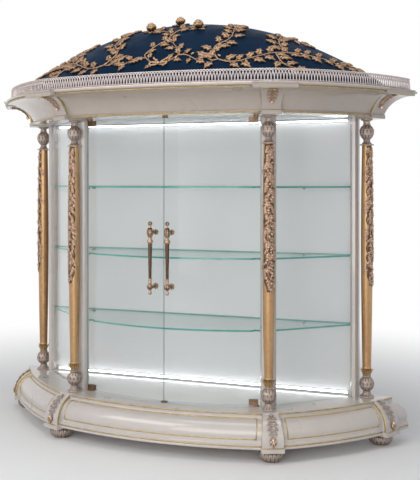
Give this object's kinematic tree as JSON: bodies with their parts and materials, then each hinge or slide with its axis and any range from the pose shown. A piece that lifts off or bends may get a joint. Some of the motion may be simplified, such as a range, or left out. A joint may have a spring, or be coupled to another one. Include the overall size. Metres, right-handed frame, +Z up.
{
  "type": "display cabinet",
  "caption": "Bow-fronted oval display cabinet with bent glass doors, glass shelves, columns, coved cornice, pierced gallery and domed top.",
  "frame": {"origin": "on the floor under the middle of the overall width and depth", "axes": "+X to the viewer's right along the width, -Y out of the front, +Z up"},
  "size_m": [2.1684, 0.6543, 1.999],
  "materials": {
    "ivory_lacquer": "polished ivory pearl lacquer with gold lines",
    "gilded_wood": "satin gold leaf with carved foliage",
    "carved_silver": "carved, silver leaf with a rose patina",
    "gallery_silver": "pierced, silvered with a lilac patina",
    "dome_blue": "deep blue gloss lacquer",
    "gilt_ornament": "cast and gilded",
    "clear_glass": "clear, polished edges",
    "shelf_glass": "clear with green edges",
    "hinge_brass": "brushed bronze tone",
    "light_diffuser": "opal diffuser, lit",
    "white_panel": "white satin lacquer",
    "carcass_board": "plain board"
  },
  "bodies": {
    "cabinet": {"back_panel": "white_panel", "base_back_rail": "carcass_board", "base_block_back_left": "ivory_lacquer", "base_block_back_right": "ivory_lacquer", "base_block_front_left": "ivory_lacquer", "base_block_front_right": "ivory_lacquer", "base_floor": "carcass_board", "base_moulding_center": "ivory_lacquer", "base_moulding_left": "ivory_lacquer", "base_moulding_right": "ivory_lacquer", "bracket_back_left": "ivory_lacquer", "bracket_back_right": "ivory_lacquer", "bracket_front_left": "ivory_lacquer", "bracket_front_right": "ivory_lacquer", "ceiling_panel": "white_panel", "column_capital_back_left": "carved_silver", "column_capital_back_right": "carved_silver", "column_capital_front_left": "carved_silver", "column_capital_front_right": "carved_silver", "column_foot_back_left": "carved_silver", "column_foot_back_right": "carved_silver", "column_foot_front_left": "carved_silver", "column_foot_front_right": "carved_silver", "column_shaft_back_left": "gilded_wood", "column_shaft_back_right": "gilded_wood", "column_shaft_front_left": "gilded_wood", "column_shaft_front_right": "gilded_wood", "cornice_back_rail": "carcass_board", "cornice_center": "ivory_lacquer", "cornice_left": "ivory_lacquer", "cornice_right": "ivory_lacquer", "deck": "ivory_lacquer", "dome_shell": "dome_blue", "door_stops": "hinge_brass", "foot_back_left": "carved_silver", "foot_back_right": "carved_silver", "foot_front_left": "carved_silver", "foot_front_right": "carved_silver", "gallery_center": "gallery_silver", "gallery_left": "gallery_silver", "gallery_right": "gallery_silver", "hinge_pivots": "hinge_brass", "light_strips": "light_diffuser", "post_back_left": "ivory_lacquer", "post_back_right": "ivory_lacquer", "post_front_left": "ivory_lacquer", "post_front_right": "ivory_lacquer", "rosebuds": "gilt_ornament", "shelf_1": "shelf_glass", "shelf_2": "shelf_glass", "shelf_3": "shelf_glass", "shelf_pins": "hinge_brass", "side_glass_left": "clear_glass", "side_glass_right": "clear_glass", "top_board": "ivory_lacquer"},
    "left_door": {"door_glass_left": "clear_glass", "door_clamps_left": "hinge_brass"},
    "right_door": {"door_glass_right": "clear_glass", "door_clamps_right": "hinge_brass"}
  },
  "joints": [
    {"name": "left_door_hinge", "type": "hinge", "parent": "cabinet", "child": "left_door", "pos_m": [-0.415, -0.02769, 0.197], "axis": [0, 0, -1], "range_deg": [0, 90]},
    {"name": "right_door_hinge", "type": "hinge", "parent": "cabinet", "child": "right_door", "pos_m": [0.415, -0.02769, 0.197], "axis": [0, 0, 1], "range_deg": [0, 90]}
  ]
}
